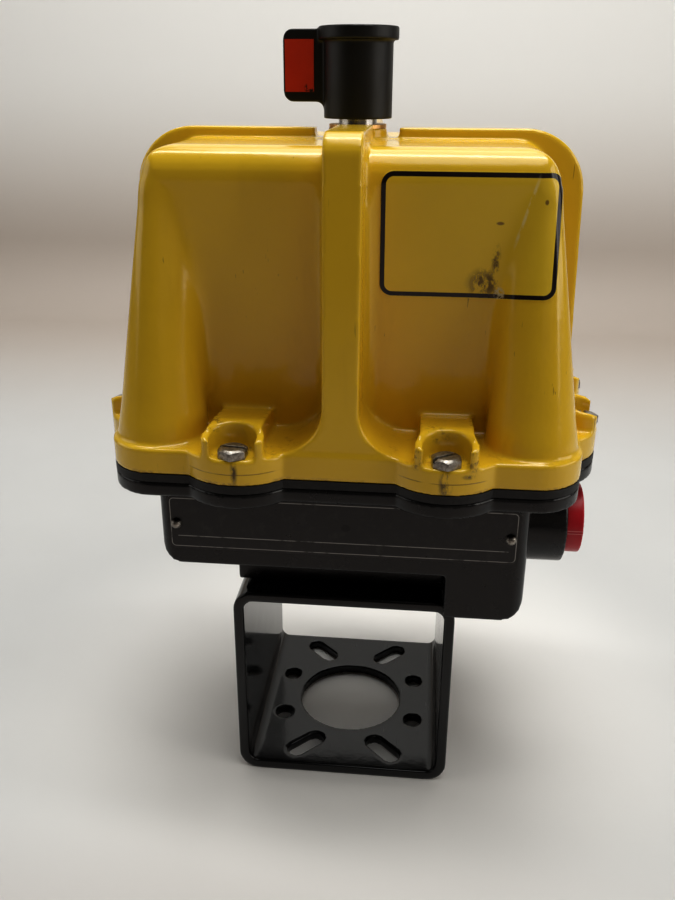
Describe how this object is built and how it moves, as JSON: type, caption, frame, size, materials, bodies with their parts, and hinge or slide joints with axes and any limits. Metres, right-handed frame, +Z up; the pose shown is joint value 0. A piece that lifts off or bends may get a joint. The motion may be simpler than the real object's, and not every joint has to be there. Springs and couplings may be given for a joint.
{
  "type": "motorized valve actuator",
  "caption": "Quarter-turn electric actuator with a domed cast cover, indicator cap with flag, and a square-tube mounting bracket with a valve bolt pattern.",
  "frame": {"origin": "on the output shaft's axis, at the bottom face of the mounting bracket", "axes": "+Z up along the output shaft, +X to the conduit entries, -Y to the front with the nameplate"},
  "size_m": [0.2178, 0.168, 0.3378],
  "materials": {
    "yellow_casting": "gloss enamel on a casting",
    "black_casting": "semi-gloss black paint on a casting",
    "black_paint": "gloss black powder coat",
    "gasket": "matt black",
    "stainless": "bright",
    "zinc_steel": "zinc plated",
    "black_steel": "blackened",
    "label_film": "film with a dark border, blank",
    "nameplate": "black plate with a fine silver border, blank",
    "red_plastic": "moulded",
    "bronze": "plain",
    "rubber": "matt",
    "steel": "machined",
    "motor_paint": "satin",
    "cast_aluminium": "as cast",
    "capacitor_can": "drawn",
    "switch_plastic": "moulded",
    "cam_plastic": "moulded",
    "black_plastic": "moulded, satin",
    "orange_film": "film"
  },
  "bodies": {
    "housing": {"mounting_bracket": "black_paint", "bracket_screws": "zinc_steel", "bracket_washers": "zinc_steel", "base_housing": "black_casting", "flange_gasket": "gasket", "cover_housing": "yellow_casting", "cover_screws": "stainless", "cover_label": "label_film", "nameplate": "nameplate", "nameplate_pins": "stainless", "ground_screw": "black_steel", "front_conduit_plug": "red_plastic", "rear_conduit_plug": "red_plastic", "lower_shaft_bush": "bronze", "upper_shaft_bush": "bronze", "upper_shaft_seal": "rubber", "cluster_washer": "bronze", "cluster_pin": "steel", "gear_plate": "steel", "gear_plate_posts": "steel", "gear_plate_screws": "zinc_steel", "motor_housing": "motor_paint", "motor_end_bell": "cast_aluminium", "motor_screws": "zinc_steel", "brake_housing": "motor_paint", "run_capacitor": "capacitor_can", "capacitor_clamp": "zinc_steel", "capacitor_clamp_screws": "zinc_steel", "closing_switch": "switch_plastic", "opening_switch": "switch_plastic", "switch_bracket": "zinc_steel", "switch_bracket_screws": "zinc_steel", "terminal_strip": "switch_plastic", "terminal_screws": "bronze"},
    "output": {"output_shaft": "steel", "output_gear": "steel", "gear_retaining_ring": "zinc_steel", "closing_cam": "cam_plastic", "opening_cam": "cam_plastic", "cam_spacer": "cast_aluminium", "cam_retaining_ring": "zinc_steel"},
    "override": {"override_shaft": "steel", "override_pin": "steel", "indicator_cap": "black_plastic", "flag_marker": "orange_film"},
    "cluster": {"cluster_gear": "steel"},
    "rotor": {"motor_shaft": "steel", "motor_rotor": "steel", "motor_pinion": "steel", "brake_disc": "steel"},
    "closing_arm": {"closing_lever": "stainless"},
    "opening_arm": {"opening_lever": "stainless"}
  },
  "joints": [
    {"name": "output_turn", "type": "hinge", "parent": "housing", "child": "output", "pos_m": [0, 0, 0.115], "axis": [0, 0, 1], "range_deg": [0, 90]},
    {"name": "override_lift", "type": "slide", "parent": "output", "child": "override", "axis": [0, 0, 1], "range_m": [0, 0.0095]},
    {"name": "cluster_spin", "type": "hinge", "parent": "housing", "child": "cluster", "pos_m": [0.04018, 0.02976, 0.14], "axis": [0, 0, 1], "range_deg": [-360, 0]},
    {"name": "rotor_spin", "type": "hinge", "parent": "housing", "child": "rotor", "pos_m": [0.044, 0, 0.18], "axis": [0, 0, 1], "range_deg": [0, 1080]},
    {"name": "closing_lever_swing", "type": "hinge", "parent": "housing", "child": "closing_arm", "pos_m": [-0.0183, 0.008, 0.2435], "axis": [0, 0, -1], "range_deg": [0, 3], "stiffness_Nm_per_rad": 0.02},
    {"name": "opening_lever_swing", "type": "hinge", "parent": "housing", "child": "opening_arm", "pos_m": [-0.0183, 0.008, 0.2545], "axis": [0, 0, -1], "range_deg": [0, 3], "stiffness_Nm_per_rad": 0.02}
  ],
  "couplings": [
    {"joint": "cluster_spin", "follows": "output_turn", "ratio": -4},
    {"joint": "rotor_spin", "follows": "output_turn", "ratio": 12}
  ]
}
